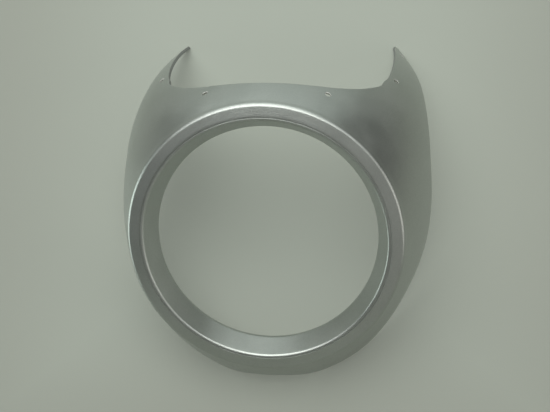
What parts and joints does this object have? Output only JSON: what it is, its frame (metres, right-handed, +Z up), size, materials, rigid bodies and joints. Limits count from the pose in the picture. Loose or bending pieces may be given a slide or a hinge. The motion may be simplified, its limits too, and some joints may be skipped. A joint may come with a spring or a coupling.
{
  "type": "headlight cowl",
  "caption": "One-piece painted nose cowl with a stepped ring round a headlamp opening, swept sides and a windscreen cut-out.",
  "frame": {"origin": "centre of the headlamp opening, at the front end of its round land", "axes": "-Y out of the opening towards the front, +Z up, +X to the viewer's right from the front"},
  "size_m": [0.2788, 0.203, 0.268],
  "materials": {
    "silver_paint": "satin metallic silver paint outside, rough and unpainted inside"
  },
  "bodies": {
    "root": {"cowl_shell": "silver_paint"}
  },
  "joints": []
}
